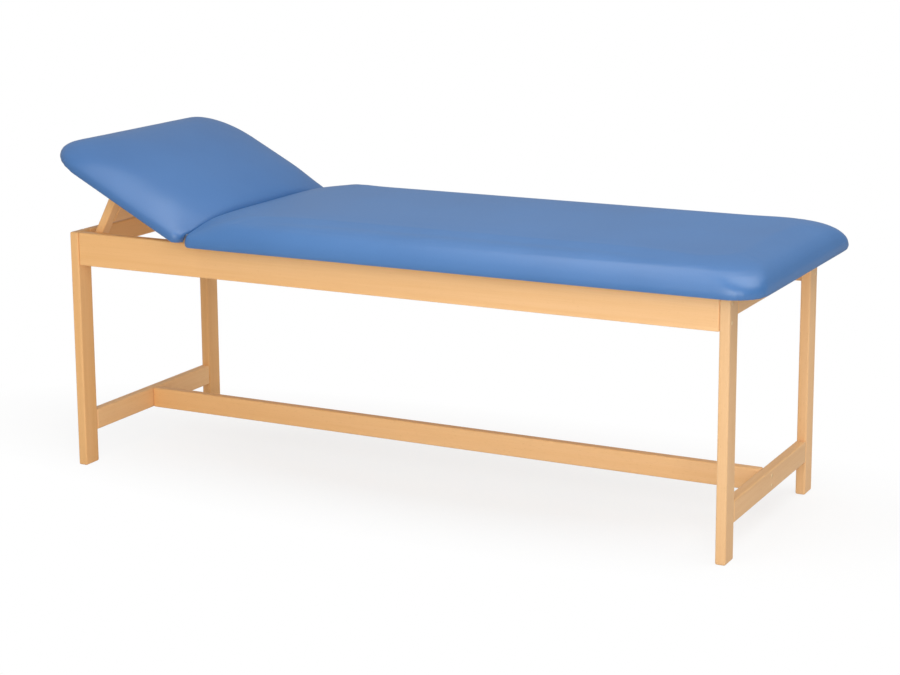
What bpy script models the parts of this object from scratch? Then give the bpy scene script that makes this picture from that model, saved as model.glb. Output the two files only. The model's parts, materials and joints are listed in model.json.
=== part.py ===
"""Fixed treatment couch: a beech frame, a long upholstered pad and a head section propped on a folding support.

Metres, +Z up. The couch lies along X with its head end at -X. The floor is at Z = 0, and the origin is
under the middle of the couch's overall length. The head section is modelled flat and turned up to its
propped angle by the empty on its hinge axis.
"""

import math
from collections import namedtuple

import bmesh
import bpy

# Frame
FRAME_LENGTH = 1.785
FRAME_WIDTH = 0.634
FRAME_HEIGHT = 0.620
STOCK_THICK = 0.025
STOCK_DEPTH = 0.054
RAIL_DEPTH = 0.086
RAIL_SETBACK = 0.0015
STRETCHER_FLOOR_GAP = 0.0845
WOOD_ROUND = 0.004
WOOD_ROUND_STEPS = 3

# Upholstered pads
PAD_WIDTH = 0.750
FOOT_OVERHANG = 0.080
HEAD_HINGE_INSET = 0.380
HEAD_LENGTH = 0.449
PAD_EDGE_HEIGHT = 0.0655
PAD_CROWN = 0.005
CROWN_SHARE = 0.6
PAD_WIDEST = 0.0085
ROLL_SIDE_POWER = 1.75
ROLL_TOP_POWER = 2.1
MAIN_ROLL = 0.078
MAIN_CORNER = 0.079
MAIN_CORNER_GROWTH = 0.70
MAIN_SEAM_GROWTH = 1.24
MAIN_SEAM_ROUND = 0.023
HEAD_ROLL = 0.178
HEAD_CORNER = 0.104
HEAD_CORNER_GROWTH = 0.59
HEAD_SEAM_GROWTH = 0.67
HEAD_SEAM_ROUND = 0.016
SEAM_CORNER = 0.022
SEAM_GAP = 0.003
CORNER_SHARE = 0.92
BOARD_THICK = 0.018
BOARD_WRAP = 0.008
SEAM_WRAP = 0.005

# Propped head section
PROP_ANGLE = math.radians(27.5)
HINGE_HEIGHT = 0.025

# Folding support
ARM_THICK = 0.021
ARM_WIDTH = 0.034
ARM_SIDE_CLEARANCE = 0.0045
PROP_BOARD_DEPTH = 0.112
PROP_BOARD_THICK = 0.018
FOOT_APRON_CLEARANCE = 0.006
FOOT_DROP = 0.0495
FOOT_BEVEL = math.radians(24.0)
SEAT_CLEARANCE = 0.001
SEAT_REACH = 0.028
SEAT_LIP = 0.006
SEAT_SIDE_MARGIN = 0.005

# Hinges
KNUCKLE_RADIUS = 0.0025
PIN_RADIUS = 0.0012
PIN_CLEARANCE = 0.00007
LEAF_THICK = 0.0015
LEAF_OFFSET = 0.0012
KNUCKLE_GAP = 0.0003
KNUCKLE_RELIEF = 0.0008
PIANO_LENGTH = 0.690
PIANO_KNUCKLES = 13
PIANO_LEAF = 0.0225
BUTT_LENGTH = 0.066
BUTT_KNUCKLES = 3
BUTT_LEAF = 0.030
BUTT_SPREAD = 0.340

# Fits and mesh fineness
FIT_GAP = 0.0003
CORNER_STEPS = 8
LONG_SIDE_STEPS = 10
SHORT_SIDE_STEPS = 6
ROLL_STEPS = 10
ROUND_STEPS = 20

# Levels and positions that follow from the sizes above
HALF_LENGTH = FRAME_LENGTH / 2
HALF_WIDTH = FRAME_WIDTH / 2
APRON_INNER = HALF_LENGTH - STOCK_THICK
LEG_INNER = HALF_WIDTH - STOCK_DEPTH
RAIL_OUTER = HALF_WIDTH - RAIL_SETBACK
RAIL_INNER = RAIL_OUTER - STOCK_THICK
PAD_BOTTOM = FRAME_HEIGHT + FIT_GAP
HINGE_X = HEAD_HINGE_INSET - HALF_LENGTH
HINGE_Z = PAD_BOTTOM + HINGE_HEIGHT
FOOT_END_X = HALF_LENGTH + FOOT_OVERHANG

# Form of each pad: where it ends from the seam, how wide its roll is and how its corners open towards the top
PadForm = namedtuple("PadForm", "end_x roll corner corner_growth seam_growth seam_round")
MAIN_FORM = PadForm(
    FOOT_END_X - HINGE_X, MAIN_ROLL, MAIN_CORNER, MAIN_CORNER_GROWTH, MAIN_SEAM_GROWTH, MAIN_SEAM_ROUND
)
HEAD_FORM = PadForm(
    -HEAD_LENGTH, HEAD_ROLL, HEAD_CORNER, HEAD_CORNER_GROWTH, HEAD_SEAM_GROWTH, HEAD_SEAM_ROUND
)


def clear_scene():
    """Start from an empty scene."""
    for item in list(bpy.data.objects):
        bpy.data.objects.remove(item, do_unlink=True)


def make_material(name, colour, roughness, metallic=0.0):
    """A plain Principled finish."""
    material = bpy.data.materials.new(name)
    material.use_nodes = True
    shader = material.node_tree.nodes["Principled BSDF"]
    shader.inputs["Base Color"].default_value = (*colour, 1.0)
    shader.inputs["Roughness"].default_value = roughness
    shader.inputs["Metallic"].default_value = metallic
    material.diffuse_color = (*colour, 1.0)
    return material


def make_empty(name, location, parent=None, tilt=0.0):
    """A pivot that pieces hang from, turned about Y."""
    empty = bpy.data.objects.new(name, None)
    empty.location = location
    empty.rotation_euler = (0.0, tilt, 0.0)
    empty.parent = parent
    bpy.context.scene.collection.objects.link(empty)
    return empty


def finish_mesh(name, mesh, material, parent, location=(0.0, 0.0, 0.0), tilt=0.0):
    """Turn a finished bmesh into a named object under its parent."""
    bmesh.ops.recalc_face_normals(mesh, faces=mesh.faces[:])
    data = bpy.data.meshes.new(name)
    mesh.to_mesh(data)
    mesh.free()
    data.materials.append(material)
    piece = bpy.data.objects.new(name, data)
    piece.location = location
    piece.rotation_euler = (0.0, tilt, 0.0)
    piece.parent = parent
    bpy.context.scene.collection.objects.link(piece)
    return piece


def soften_edges(piece, width=WOOD_ROUND):
    """Round every edge of a wooden piece."""
    bevel = piece.modifiers.new("rounded_edges", "BEVEL")
    bevel.width = width
    bevel.segments = WOOD_ROUND_STEPS
    bevel.limit_method = "NONE"
    return piece


def shade_round(piece, angle=math.radians(35.0)):
    """Smooth shading that keeps real edges crisp."""
    piece.data.shade_smooth()
    piece.data.set_sharp_from_angle(angle=angle)
    return piece


def make_bar(name, low, high, material, parent):
    """A straight wooden bar between two corners, its origin at its middle."""
    size = [high[i] - low[i] for i in range(3)]
    middle = [(high[i] + low[i]) / 2 for i in range(3)]
    mesh = bmesh.new()
    bmesh.ops.create_cube(mesh, size=1.0)
    bmesh.ops.scale(mesh, vec=size, verts=mesh.verts[:])
    piece = finish_mesh(name, mesh, material, parent, middle)
    return soften_edges(piece)


def add_prism(mesh, outline, y_low, y_high):
    """Extrude an outline of (x, z) points along Y inside a bmesh."""
    bottom = [mesh.verts.new((x, y_low, z)) for x, z in outline]
    face = mesh.faces.new(bottom)
    grown = bmesh.ops.extrude_face_region(mesh, geom=[face])
    moved = [item for item in grown["geom"] if isinstance(item, bmesh.types.BMVert)]
    bmesh.ops.translate(mesh, verts=moved, vec=(0.0, y_high - y_low, 0.0))


def make_prism(name, outline, y_low, y_high, material, parent):
    """A wooden piece of one section along Y, its origin at its middle across the couch."""
    y_middle = (y_low + y_high) / 2
    mesh = bmesh.new()
    add_prism(mesh, outline, y_low - y_middle, y_high - y_middle)
    return soften_edges(finish_mesh(name, mesh, material, parent, (0.0, y_middle, 0.0)))


def pad_outline(x_seam, x_end, half_width, end_corner, seam_corner):
    """Points around a pad, with big corners at its free end and small ones at the seam.

    The free end may lie on either side of the seam. Corners too big for the outline are made smaller.
    The count of points depends only on the step constants, so that outlines of different size can be
    joined into rings.
    """
    turn = 1.0 if x_end > x_seam else -1.0
    length = abs(x_end - x_seam)
    along_room = CORNER_SHARE * length / (end_corner + seam_corner)
    across_room = CORNER_SHARE * half_width / max(end_corner, seam_corner)
    fit = min(1.0, along_room, across_room)
    end_corner *= fit
    seam_corner *= fit
    corners = [
        (length - end_corner, half_width - end_corner, end_corner, 0.0),
        (seam_corner, half_width - seam_corner, seam_corner, 90.0),
        (seam_corner, seam_corner - half_width, seam_corner, 180.0),
        (length - end_corner, end_corner - half_width, end_corner, 270.0),
    ]
    side_steps = [LONG_SIDE_STEPS, SHORT_SIDE_STEPS, LONG_SIDE_STEPS, SHORT_SIDE_STEPS]
    points = []
    for index, (centre_x, centre_y, radius, start) in enumerate(corners):
        arc = []
        for step in range(CORNER_STEPS + 1):
            angle = math.radians(start + 90.0 * step / CORNER_STEPS)
            arc.append((centre_x + radius * math.cos(angle), centre_y + radius * math.sin(angle)))
        following = corners[(index + 1) % 4]
        angle = math.radians(following[3])
        target_x = following[0] + following[2] * math.cos(angle)
        target_y = following[1] + following[2] * math.sin(angle)
        last_x, last_y = arc[-1]
        points.extend(arc)
        for step in range(1, side_steps[index]):
            share = step / side_steps[index]
            points.append((last_x + (target_x - last_x) * share, last_y + (target_y - last_y) * share))
    return [(x_seam + turn * x, y) for x, y in points]


def seam_inset(height, seam_round):
    """How far a pad's seam end stands back from the hinge axis at a height over the pad's bottom."""
    lean = (height - HINGE_HEIGHT) * math.tan(PROP_ANGLE / 2) + 2 * FIT_GAP
    inset = max(SEAM_GAP, lean)
    over = height - (PAD_EDGE_HEIGHT - seam_round)
    if over > 0.0:
        inset += seam_round - math.sqrt(max(seam_round**2 - over**2, 0.0))
    return inset


def pad_levels(roll):
    """Heights and edge insets up a pad's side and over its roll."""
    levels = [(0.0, PAD_WIDEST * 0.4), (PAD_WIDEST * 0.3, PAD_WIDEST * 0.1)]
    rise = PAD_EDGE_HEIGHT - PAD_WIDEST
    for step in range(ROLL_STEPS + 1):
        angle = math.pi / 2 * step / ROLL_STEPS
        height = PAD_WIDEST + rise * math.sin(angle) ** (2 / ROLL_TOP_POWER)
        levels.append((height, roll * (1 - abs(math.cos(angle)) ** (2 / ROLL_SIDE_POWER))))
    return levels


def ring(mesh, points, height):
    """A closed loop of new vertices at one height."""
    return [mesh.verts.new((x, y, height)) for x, y in points]


def join_rings(mesh, lower, upper):
    """Quads between two loops of equal count."""
    count = len(lower)
    for index in range(count):
        following = (index + 1) % count
        mesh.faces.new((lower[index], lower[following], upper[following], upper[index]))


def board_outline(form, grow=0.0):
    """Outline of a pad's base board, or of the pocket around it when grown."""
    turn = math.copysign(1.0, form.end_x)
    inset = BOARD_WRAP - grow
    seam = turn * (SEAM_GAP + SEAM_WRAP - grow)
    corner = form.corner + form.corner_growth * inset
    return pad_outline(seam, form.end_x - turn * inset, PAD_WIDTH / 2 - inset, corner, SEAM_CORNER)


def roll_outline(form, height, inset):
    """Outline of a pad at one height, whose corners open with the inset of the roll."""
    turn = math.copysign(1.0, form.end_x)
    seam = turn * seam_inset(height, form.seam_round)
    end_corner = form.corner + form.corner_growth * inset
    seam_corner = SEAM_CORNER + form.seam_growth * inset
    return pad_outline(seam, form.end_x - turn * inset, PAD_WIDTH / 2 - inset, end_corner, seam_corner)


def make_cushion(name, form, material, parent, location):
    """A crowned pad of foam in its cover, drawn over the base board's edges and open below for the board."""
    mesh = bmesh.new()
    pocket = board_outline(form, FIT_GAP)
    loops = [ring(mesh, pocket, BOARD_THICK + FIT_GAP), ring(mesh, pocket, 0.0)]
    rim = []
    for height, inset in pad_levels(form.roll):
        rim = roll_outline(form, height, inset)
        loops.append(ring(mesh, rim, height))
    middle = sum(x for x, y in rim) / len(rim)
    for share in (0.25, 0.6, 1.0):
        keep = 1.0 - CROWN_SHARE * share
        points = [(middle + (x - middle) * keep, y * keep) for x, y in rim]
        loops.append(ring(mesh, points, PAD_EDGE_HEIGHT + PAD_CROWN * math.sin(math.pi / 2 * share)))
    mesh.faces.new(loops[0])
    for lower, upper in zip(loops, loops[1:]):
        join_rings(mesh, lower, upper)
    mesh.faces.new(loops[-1])
    return shade_round(finish_mesh(name, mesh, material, parent, location), math.radians(50.0))


def make_board(name, form, material, parent, location):
    """A pad's flat base board."""
    outline = board_outline(form)
    mesh = bmesh.new()
    loops = [ring(mesh, outline, 0.0), ring(mesh, outline, BOARD_THICK)]
    mesh.faces.new(loops[0])
    join_rings(mesh, loops[0], loops[1])
    mesh.faces.new(loops[1])
    return finish_mesh(name, mesh, material, parent, location)


def add_cylinder(mesh, radius, length, y_middle=0.0):
    """A closed cylinder along Y inside a bmesh."""
    outline = []
    for step in range(ROUND_STEPS):
        angle = 2 * math.pi * step / ROUND_STEPS
        outline.append((radius * math.cos(angle), radius * math.sin(angle)))
    add_prism(mesh, outline, y_middle - length / 2, y_middle + length / 2)


def knuckle_section(side, plate_top):
    """The rolled eye of a hinge leaf with its neck, down to just inside the plate."""
    trim = LEAF_THICK * 0.03
    near = LEAF_OFFSET + trim
    far = min(LEAF_OFFSET + LEAF_THICK - trim, KNUCKLE_RADIUS)
    low = plate_top + LEAF_THICK
    start = math.acos(far / KNUCKLE_RADIUS) if far < KNUCKLE_RADIUS else 0.0
    stop = 2 * math.pi - math.acos(near / KNUCKLE_RADIUS)
    section = [(side * far, -low)]
    for step in range(ROUND_STEPS + 1):
        angle = start + (stop - start) * step / ROUND_STEPS
        section.append((side * KNUCKLE_RADIUS * math.cos(angle), KNUCKLE_RADIUS * math.sin(angle)))
    section.append((side * near, -low))
    return section


def make_cutter(name, mesh, material, parent, location, tilt):
    """A helper shape that only serves a cut or a union."""
    helper = finish_mesh(name, mesh, material, parent, location, tilt)
    helper.hide_render = True
    helper.display_type = "WIRE"
    return helper


def make_leaf(name, side, parity, sizes, material, parent, location, tilt=0.0):
    """One hinge leaf: a plate hanging from its own share of the knuckles, bored for the pin.

    The axis runs along Y through the location. The plate lies on the given side of the axis, and the
    knuckles of the given parity belong to this leaf. Sizes are length, knuckle count and plate depth.
    """
    length, count, depth = sizes
    plate_top = KNUCKLE_RADIUS + KNUCKLE_RELIEF
    x_low = side * LEAF_OFFSET
    x_high = side * (LEAF_OFFSET + LEAF_THICK)
    plate = bmesh.new()
    outline = [(x_low, -depth), (x_high, -depth), (x_high, -plate_top), (x_low, -plate_top)]
    add_prism(plate, outline, -length / 2, length / 2)
    leaf = finish_mesh(name, plate, material, parent, location, tilt)
    eyes = bmesh.new()
    pitch = length / count
    section = knuckle_section(side, plate_top)
    for index in range(parity, count, 2):
        start = -length / 2 + index * pitch
        add_prism(eyes, section, start + KNUCKLE_GAP / 2, start + pitch - KNUCKLE_GAP / 2)
    bore = bmesh.new()
    add_cylinder(bore, PIN_RADIUS + PIN_CLEARANCE, length * 1.1)
    for operation, mesh in (("UNION", eyes), ("DIFFERENCE", bore)):
        step = leaf.modifiers.new(operation.lower(), "BOOLEAN")
        step.operation = operation
        step.solver = "EXACT"
        step.object = make_cutter(f"{name}_{operation.lower()}", mesh, material, parent, location, tilt)
    return leaf


def make_pin(name, length, material, parent, location):
    """A hinge pin along Y."""
    mesh = bmesh.new()
    add_cylinder(mesh, PIN_RADIUS, length)
    return shade_round(finish_mesh(name, mesh, material, parent, location))


def build_frame(wood, root):
    """Two end frames of legs, apron and cross bar, joined by side rails and one long stretcher."""
    stretcher_top = STRETCHER_FLOOR_GAP + STOCK_DEPTH
    apron_bottom = FRAME_HEIGHT - STOCK_DEPTH
    rail_bottom = FRAME_HEIGHT - RAIL_DEPTH
    for end, facing in (("head", -1.0), ("foot", 1.0)):
        inner = facing * APRON_INNER
        outer = facing * HALF_LENGTH
        x_low = min(inner, outer)
        x_high = max(inner, outer)
        for hand, side in (("left", -1.0), ("right", 1.0)):
            y_low = min(side * LEG_INNER, side * HALF_WIDTH)
            y_high = max(side * LEG_INNER, side * HALF_WIDTH)
            make_bar(f"leg_{end}_{hand}", (x_low, y_low, 0.0), (x_high, y_high, FRAME_HEIGHT), wood, root)
        span = LEG_INNER - FIT_GAP
        make_bar(f"apron_{end}", (x_low, -span, apron_bottom), (x_high, span, FRAME_HEIGHT), wood, root)
        cross_low = (x_low, -span, STRETCHER_FLOOR_GAP)
        make_bar(f"cross_{end}", cross_low, (x_high, span, stretcher_top), wood, root)
    reach = APRON_INNER - FIT_GAP
    for hand, side in (("left", -1.0), ("right", 1.0)):
        y_low = min(side * RAIL_INNER, side * RAIL_OUTER)
        y_high = max(side * RAIL_INNER, side * RAIL_OUTER)
        make_bar(f"rail_{hand}", (-reach, y_low, rail_bottom), (reach, y_high, FRAME_HEIGHT), wood, root)
    half = STOCK_THICK / 2
    low = (-reach, -half, STRETCHER_FLOOR_GAP)
    make_bar("stretcher_long", low, (reach, half, stretcher_top), wood, root)


def build_main_pad(cover, plywood, steel, root):
    """The long pad on its board, with the fixed half of the head section's hinge."""
    make_cushion("main_cushion", MAIN_FORM, cover, root, (HINGE_X, 0.0, PAD_BOTTOM))
    make_board("main_board", MAIN_FORM, plywood, root, (HINGE_X, 0.0, PAD_BOTTOM))
    axis = (HINGE_X, 0.0, HINGE_Z)
    sizes = (PIANO_LENGTH, PIANO_KNUCKLES, PIANO_LEAF)
    make_leaf("head_hinge_fixed_leaf", 1.0, 0, sizes, steel, root, axis)
    make_pin("head_hinge_pin", PIANO_LENGTH, steel, root, axis)


def prop_layout():
    """Where the folding support sits under the head section, from where its feet stand beside the apron.

    Returns the support's two faces along the head section and the heights of its foot corners, in the
    flat frame of the hinge axis, where the head section runs towards -X.
    """
    foot_x = FOOT_APRON_CLEARANCE - APRON_INNER - HINGE_X
    foot_z = FRAME_HEIGHT - FOOT_DROP - HINGE_Z
    back = foot_x * math.cos(PROP_ANGLE) - foot_z * math.sin(PROP_ANGLE)
    foot_back = foot_x * math.sin(PROP_ANGLE) + foot_z * math.cos(PROP_ANGLE)
    front = back + ARM_THICK
    foot_front = foot_back - ARM_THICK * math.tan(FOOT_BEVEL)
    return back, front, foot_back, foot_front


def turned_up(x, z):
    """A point of the flat head section after it is raised to its propped angle, in the frame's own axes."""
    raised_x = HINGE_X + x * math.cos(PROP_ANGLE) + z * math.sin(PROP_ANGLE)
    raised_z = HINGE_Z - x * math.sin(PROP_ANGLE) + z * math.cos(PROP_ANGLE)
    return raised_x, raised_z


def build_head_section(cover, plywood, steel, pivot):
    """The short pad, its board, the moving half of its hinge and the upper leaves of the support's hinges."""
    make_cushion("head_cushion", HEAD_FORM, cover, pivot, (0.0, 0.0, -HINGE_HEIGHT))
    make_board("head_board", HEAD_FORM, plywood, pivot, (0.0, 0.0, -HINGE_HEIGHT))
    sizes = (PIANO_LENGTH, PIANO_KNUCKLES, PIANO_LEAF)
    make_leaf("head_hinge_moving_leaf", -1.0, 1, sizes, steel, pivot, (0.0, 0.0, 0.0))


def support_axis():
    """The support's hinge axis below the head board and in front of the support, in the flat frame."""
    reach = LEAF_OFFSET + LEAF_THICK + FIT_GAP
    return prop_layout()[1] + reach, -HINGE_HEIGHT - reach


def build_support(wood, steel, head_pivot, prop_pivot):
    """Two arms joined by a wide board, folding on two butt hinges under the head section."""
    axis_x, axis_z = support_axis()
    back, front, foot_back, foot_front = prop_layout()
    top = -HINGE_HEIGHT - 2 * FIT_GAP - axis_z
    arm = [
        (back - axis_x, top),
        (back - axis_x, foot_back - axis_z),
        (front - axis_x, foot_front - axis_z),
        (front - axis_x, top),
    ]
    outer = RAIL_INNER - ARM_SIDE_CLEARANCE
    inner = outer - ARM_WIDTH
    for hand, side in (("left", -1.0), ("right", 1.0)):
        y_low = min(side * inner, side * outer)
        y_high = max(side * inner, side * outer)
        make_prism(f"support_arm_{hand}", arm, y_low, y_high, wood, prop_pivot)
    low = (front - axis_x - PROP_BOARD_THICK, FIT_GAP - inner, top - PROP_BOARD_DEPTH)
    make_bar("support_board", low, (front - axis_x, inner - FIT_GAP, top), wood, prop_pivot)
    sizes = (BUTT_LENGTH, BUTT_KNUCKLES, BUTT_LEAF)
    for hand, side in (("left", -1.0), ("right", 1.0)):
        y_middle = side * BUTT_SPREAD / 2
        on_head = (axis_x, y_middle, axis_z)
        on_prop = (0.0, y_middle, 0.0)
        name = f"support_hinge_{hand}"
        make_leaf(f"{name}_upper_leaf", 1.0, 0, sizes, steel, head_pivot, on_head, -math.pi / 2)
        make_leaf(f"{name}_lower_leaf", -1.0, 1, sizes, steel, prop_pivot, on_prop)
        make_pin(f"{name}_pin", BUTT_LENGTH, steel, head_pivot, on_head)


def build_seats(wood, root):
    """Corner blocks inside the head end, sloped to take the bevelled feet of the support."""
    back, _, foot_back, _ = prop_layout()
    slope = PROP_ANGLE + FOOT_BEVEL
    corner_x, corner_z = turned_up(back, foot_back)
    corner_x -= SEAT_CLEARANCE * math.sin(slope)
    corner_z -= SEAT_CLEARANCE * math.cos(slope)
    wall = FIT_GAP - APRON_INNER
    end = wall + SEAT_REACH
    top_z = corner_z + (corner_x - wall) * math.tan(slope)
    end_z = corner_z - (end - corner_x) * math.tan(slope)
    section = [(wall, end_z - SEAT_LIP), (end, end_z - SEAT_LIP), (end, end_z), (wall, top_z)]
    outer = RAIL_INNER - FIT_GAP
    inner = outer - ARM_SIDE_CLEARANCE - ARM_WIDTH - SEAT_SIDE_MARGIN
    for hand, side in (("left", -1.0), ("right", 1.0)):
        y_low = min(side * inner, side * outer)
        y_high = max(side * inner, side * outer)
        make_prism(f"support_seat_{hand}", section, y_low, y_high, wood, root)


def head_reach():
    """The raised head section's furthest reach towards -X, in the frame's own axes."""
    reach = 0.0
    for height, inset in pad_levels(HEAD_FORM.roll):
        reach = min(reach, turned_up(HEAD_FORM.end_x + inset, height - HINGE_HEIGHT)[0])
    return reach


def build_couch():
    """The whole couch, centred over its overall length."""
    clear_scene()
    wood = make_material("beech", (0.72, 0.45, 0.20), 0.42)
    plywood = make_material("plywood", (0.62, 0.45, 0.27), 0.60)
    cover = make_material("blue_leatherette", (0.070, 0.180, 0.435), 0.50)
    steel = make_material("hinge_steel", (0.62, 0.62, 0.60), 0.35, 1.0)
    root = make_empty("couch", (-(FOOT_END_X + head_reach()) / 2, 0.0, 0.0))
    head_pivot = make_empty("head_pivot", (HINGE_X, 0.0, HINGE_Z), root, PROP_ANGLE)
    axis_x, axis_z = support_axis()
    prop_pivot = make_empty("support_pivot", (axis_x, 0.0, axis_z), head_pivot)
    build_frame(wood, root)
    build_main_pad(cover, plywood, steel, root)
    build_head_section(cover, plywood, steel, head_pivot)
    build_support(wood, steel, head_pivot, prop_pivot)
    build_seats(wood, root)


build_couch()
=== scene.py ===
"""Dressed model of a fixed treatment couch.

It has a lacquered beech frame, blue leatherette pads and a propped head section.
"""

import json
import logging
import math
from collections.abc import Callable, Sequence
from dataclasses import dataclass
from enum import Enum
from typing import Any, ClassVar

import bmesh
import bpy
import numpy as np
from mathutils import Matrix, Vector, noise


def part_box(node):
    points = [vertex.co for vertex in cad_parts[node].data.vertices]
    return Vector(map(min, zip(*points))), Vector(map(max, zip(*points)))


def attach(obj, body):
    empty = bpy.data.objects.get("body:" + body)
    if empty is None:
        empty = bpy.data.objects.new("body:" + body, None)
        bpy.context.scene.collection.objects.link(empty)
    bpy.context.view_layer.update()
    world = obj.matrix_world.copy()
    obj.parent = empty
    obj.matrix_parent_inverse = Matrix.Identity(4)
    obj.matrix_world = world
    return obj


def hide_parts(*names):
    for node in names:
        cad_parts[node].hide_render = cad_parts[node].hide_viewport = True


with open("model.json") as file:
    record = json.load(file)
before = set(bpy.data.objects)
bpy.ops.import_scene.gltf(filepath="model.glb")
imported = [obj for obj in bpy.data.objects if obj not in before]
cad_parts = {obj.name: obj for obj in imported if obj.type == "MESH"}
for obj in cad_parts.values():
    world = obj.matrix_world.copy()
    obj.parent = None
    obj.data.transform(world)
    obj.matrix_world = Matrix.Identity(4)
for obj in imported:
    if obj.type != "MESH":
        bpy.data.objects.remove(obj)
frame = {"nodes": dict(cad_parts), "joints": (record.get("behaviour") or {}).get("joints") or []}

LOG = logging.getLogger("couch")
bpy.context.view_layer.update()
IMAGE_WIDTH = 900
IMAGE_HEIGHT = 675
PROP_ANGLE = math.radians(27.5)
HINGE_HEIGHT = 0.025
SHARP_ANGLE = math.radians(35.0)
FACES_UP = 0.9
FACES_DOWN = -0.999
WHITE = (1.0, 1.0, 1.0, 1.0)
Colour = tuple[float, float, float]


class Grain(Enum):
    """Direction in which the fibres of a wooden piece run."""

    ALONG = "x"
    ACROSS = "y"
    UPRIGHT = "z"


class Value:
    """A shader socket that takes part in plain arithmetic."""

    def __init__(self, graph: "Graph", socket: bpy.types.NodeSocket) -> None:
        """Keep the socket and the graph that owns it.

        Args:
            graph: The node graph in which new Math nodes are made.
            socket: The output socket that carries the value.
        """
        self.graph = graph
        self.socket = socket

    def _math(self, operation: str, first: Any, second: Any) -> "Value":
        """Add one Math node and return its result."""
        return self.graph.node("ShaderNodeMath", {"operation": operation}, {0: first, 1: second})

    def __add__(self, other: Any) -> "Value":
        """Sum of two values."""
        return self._math("ADD", self, other)

    def __sub__(self, other: Any) -> "Value":
        """Difference of two values."""
        return self._math("SUBTRACT", self, other)

    def __rsub__(self, other: Any) -> "Value":
        """Difference with the number on the left."""
        return self._math("SUBTRACT", other, self)

    def __mul__(self, other: Any) -> "Value":
        """Product of two values."""
        return self._math("MULTIPLY", self, other)


class Graph:
    """A material's or world's node tree, written as expressions."""

    def __init__(self, tree: bpy.types.NodeTree) -> None:
        """Empty the tree and keep it."""
        self.tree = tree
        self.tree.nodes.clear()

    def node(
        self, kind: str, settings: dict[str, Any], inputs: dict[Any, Any], output: Any = 0
    ) -> Value:
        """Add a node, set it up and link or fill its sockets.

        Args:
            kind: Type name of the node.
            settings: Attributes set before the sockets.
            inputs: Values or links for the sockets, by name or index.
            output: Name or index of the socket to return.

        Returns:
            The chosen output, ready for arithmetic.
        """
        made = self.tree.nodes.new(kind)
        for name, setting in settings.items():
            setattr(made, name, setting)
        for name, value in inputs.items():
            if isinstance(value, Value):
                self.tree.links.new(value.socket, made.inputs[name])
            else:
                made.inputs[name].default_value = value
        return Value(self, made.outputs[output])

    def place(
        self,
        scale: Sequence[float] = (1.0, 1.0, 1.0),
        offset: Sequence[float] = (0.0, 0.0, 0.0),
        turn: Sequence[float] = (0.0, 0.0, 0.0),
    ) -> Value:
        """Object coordinates, shifted, turned and stretched.

        Args:
            scale: Stretch along each axis.
            offset: Shift along each axis.
            turn: Turn about each axis in radians.

        Returns:
            The mapped vector.
        """
        where = self.node("ShaderNodeTexCoord", {}, {}, "Object")
        settings = {"vector_type": "POINT"}
        sockets = {"Vector": where, "Location": offset, "Rotation": turn, "Scale": scale}
        return self.node("ShaderNodeMapping", settings, sockets)

    def rays(self, *kinds: str) -> Value:
        """Tell some rays from the others.

        Args:
            kinds: Names of Light Path outputs.

        Returns:
            1 on rays of these kinds, 0 on all others.
        """
        total, *rest = [self.node("ShaderNodeLightPath", {}, {}, kind) for kind in kinds]
        for mask in rest:
            total = total + mask
        return self.node("ShaderNodeMath", {"operation": "MINIMUM"}, {0: total, 1: 1.0})

    def masks(self) -> tuple[Value, Value]:
        """Tell what the camera sees from what a glossy face mirrors.

        Returns:
            A mask of the camera's own rays and a mask of the mirrored ones.
        """
        seen = self.rays("Is Camera Ray", "Is Transmission Ray")
        return seen, self.rays("Is Glossy Ray") * (1.0 - seen)

    def noise(
        self, vector: Value, scale: float, detail: float, rough: float = 0.5, twist: float = 0.0
    ) -> Value:
        """Smooth noise between 0 and 1."""
        shape = {"Scale": scale, "Detail": detail, "Roughness": rough, "Distortion": twist}
        return self.node("ShaderNodeTexNoise", {}, {"Vector": vector, **shape}, "Fac")

    def spread(self, value: Value, low: float, high: float, to_low: float, to_high: float) -> Value:
        """A value moved from one range to another and held inside it."""
        sockets = {"Value": value, 1: low, 2: high, 3: to_low, 4: to_high}
        return self.node("ShaderNodeMapRange", {"clamp": True}, sockets, "Result")

    def mix(self, factor: Any, first: Any, second: Any, blend: str = "MIX") -> Value:
        """Two colours mixed by a factor."""
        settings = {"data_type": "RGBA", "blend_type": blend}
        return self.node("ShaderNodeMix", settings, {0: factor, 6: first, 7: second}, 2)

    def bump(self, height: Value, strength: float, distance: float) -> Value:
        """Surface normal from a height."""
        sockets = {"Height": height, "Strength": strength, "Distance": distance}
        return self.node("ShaderNodeBump", {}, sockets, "Normal")

    def surface(self, inputs: dict[str, Any]) -> None:
        """End the graph in one Principled shader."""
        self.finish(self.node("ShaderNodeBsdfPrincipled", {}, inputs, "BSDF"))

    def finish(self, shader: Value, kind: str = "ShaderNodeOutputMaterial") -> None:
        """Send a shader to the material's or the world's output."""
        end = self.tree.nodes.new(kind)
        self.tree.links.new(shader.socket, end.inputs["Surface"])


def new_graph(name: str) -> tuple[bpy.types.Material, Graph]:
    """A new material with an empty graph.

    Args:
        name: Name of the material.

    Returns:
        The material and its graph.
    """
    material = bpy.data.materials.new(name)
    material.use_nodes = True
    return material, Graph(material.node_tree)


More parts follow.
